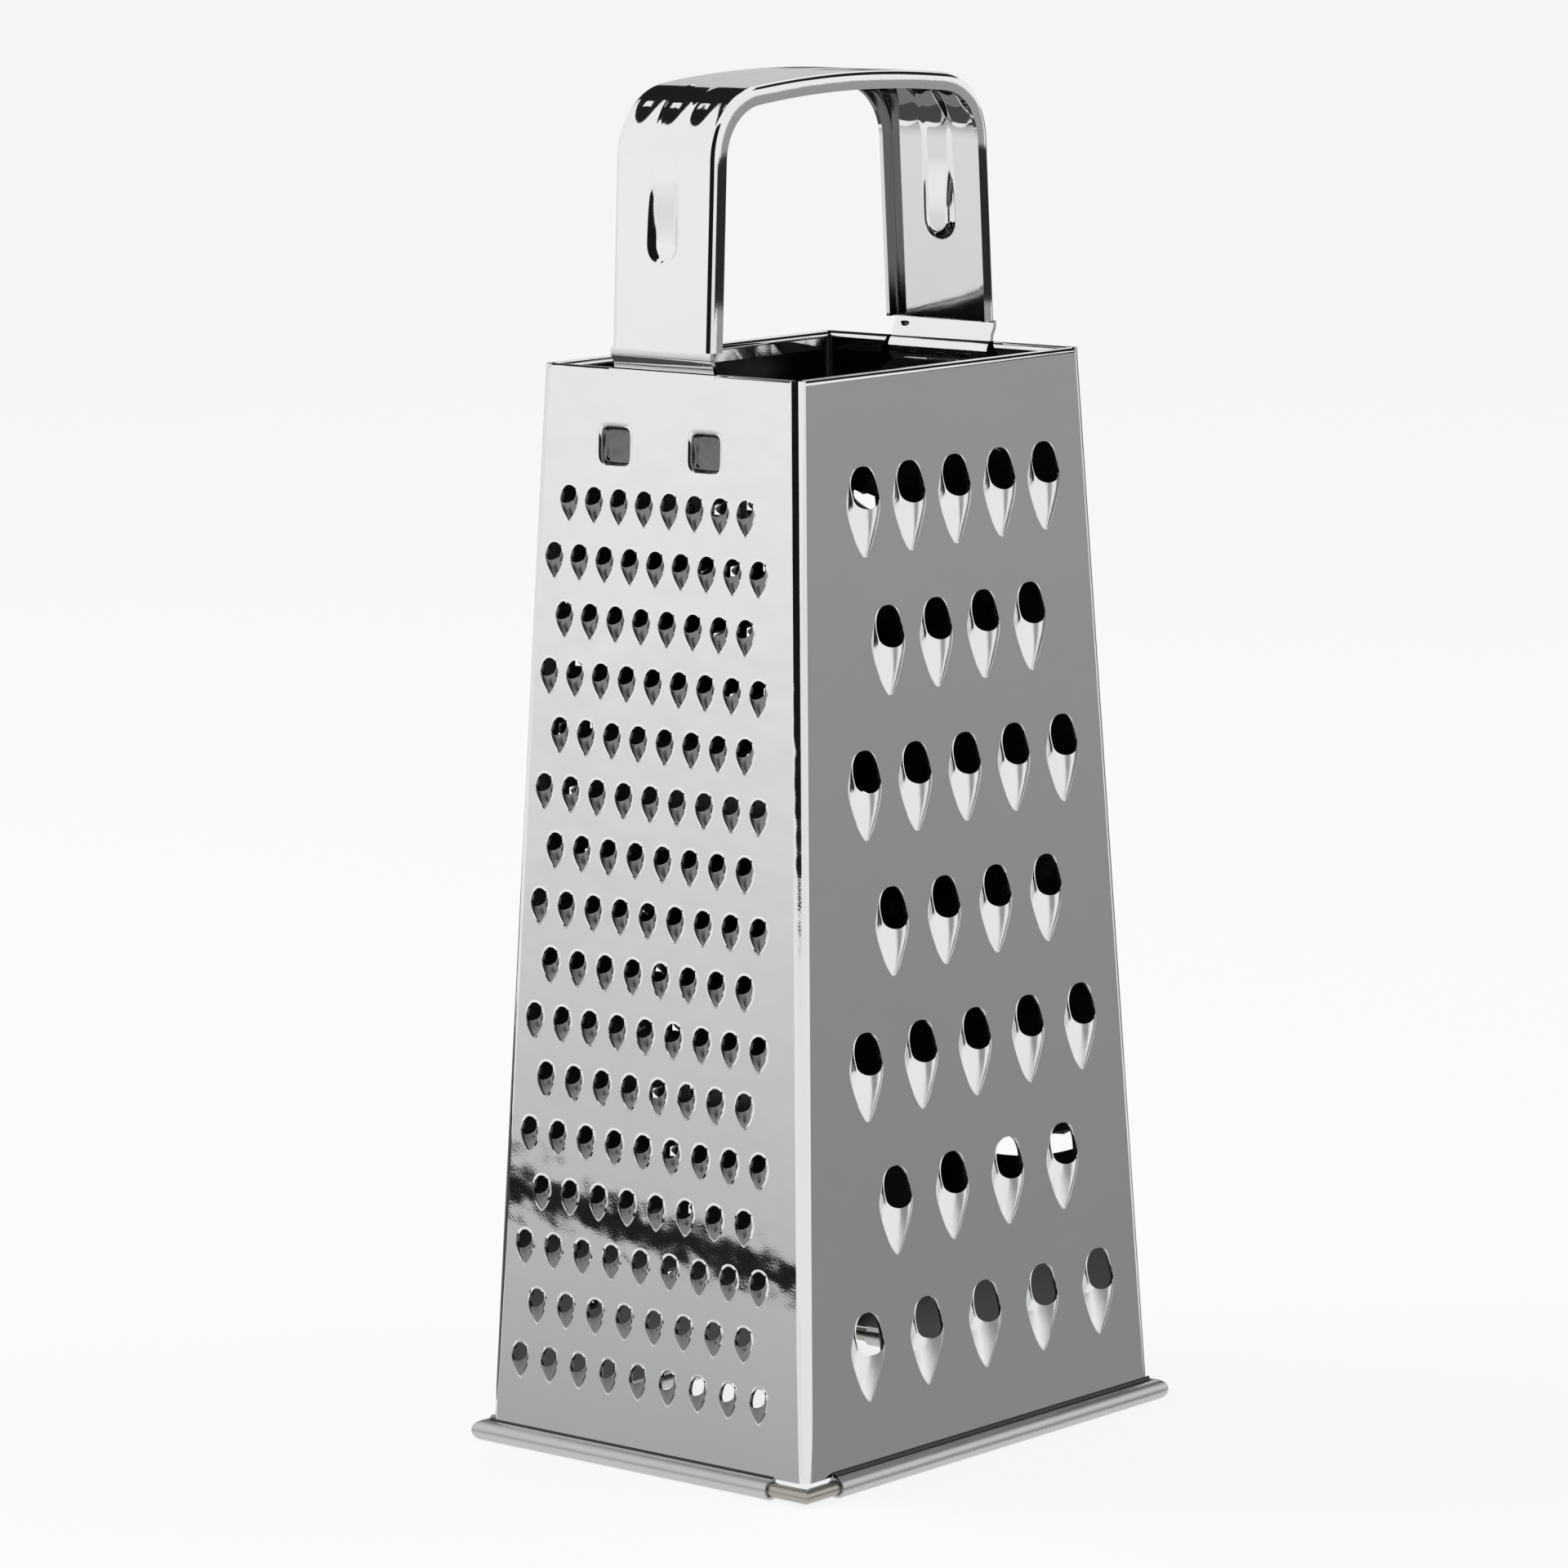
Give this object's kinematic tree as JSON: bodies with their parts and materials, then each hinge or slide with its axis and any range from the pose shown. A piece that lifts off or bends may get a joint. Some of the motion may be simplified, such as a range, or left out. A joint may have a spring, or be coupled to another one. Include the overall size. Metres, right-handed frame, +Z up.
{
  "type": "box grater",
  "caption": "Tapered four-sided box grater of pressed sheet with fine and coarse shredding teeth, slicing slots, a star-punched rasp face, a wire-stiffened base hem and a channel strap handle.",
  "frame": {"origin": "on the table, under the middle of the base", "axes": "+Z up towards the handle, -Y the narrow face with fine teeth, +X the wide face with coarse teeth"},
  "size_m": [0.0794, 0.1022, 0.2437],
  "materials": {
    "sheet": "smooth rolled stainless sheet",
    "wire": "drawn steel wire",
    "strap": "polished"
  },
  "bodies": {
    "root": {"front_shell": "sheet", "rear_shell": "sheet", "base_wire": "wire", "handle": "strap"}
  },
  "joints": []
}
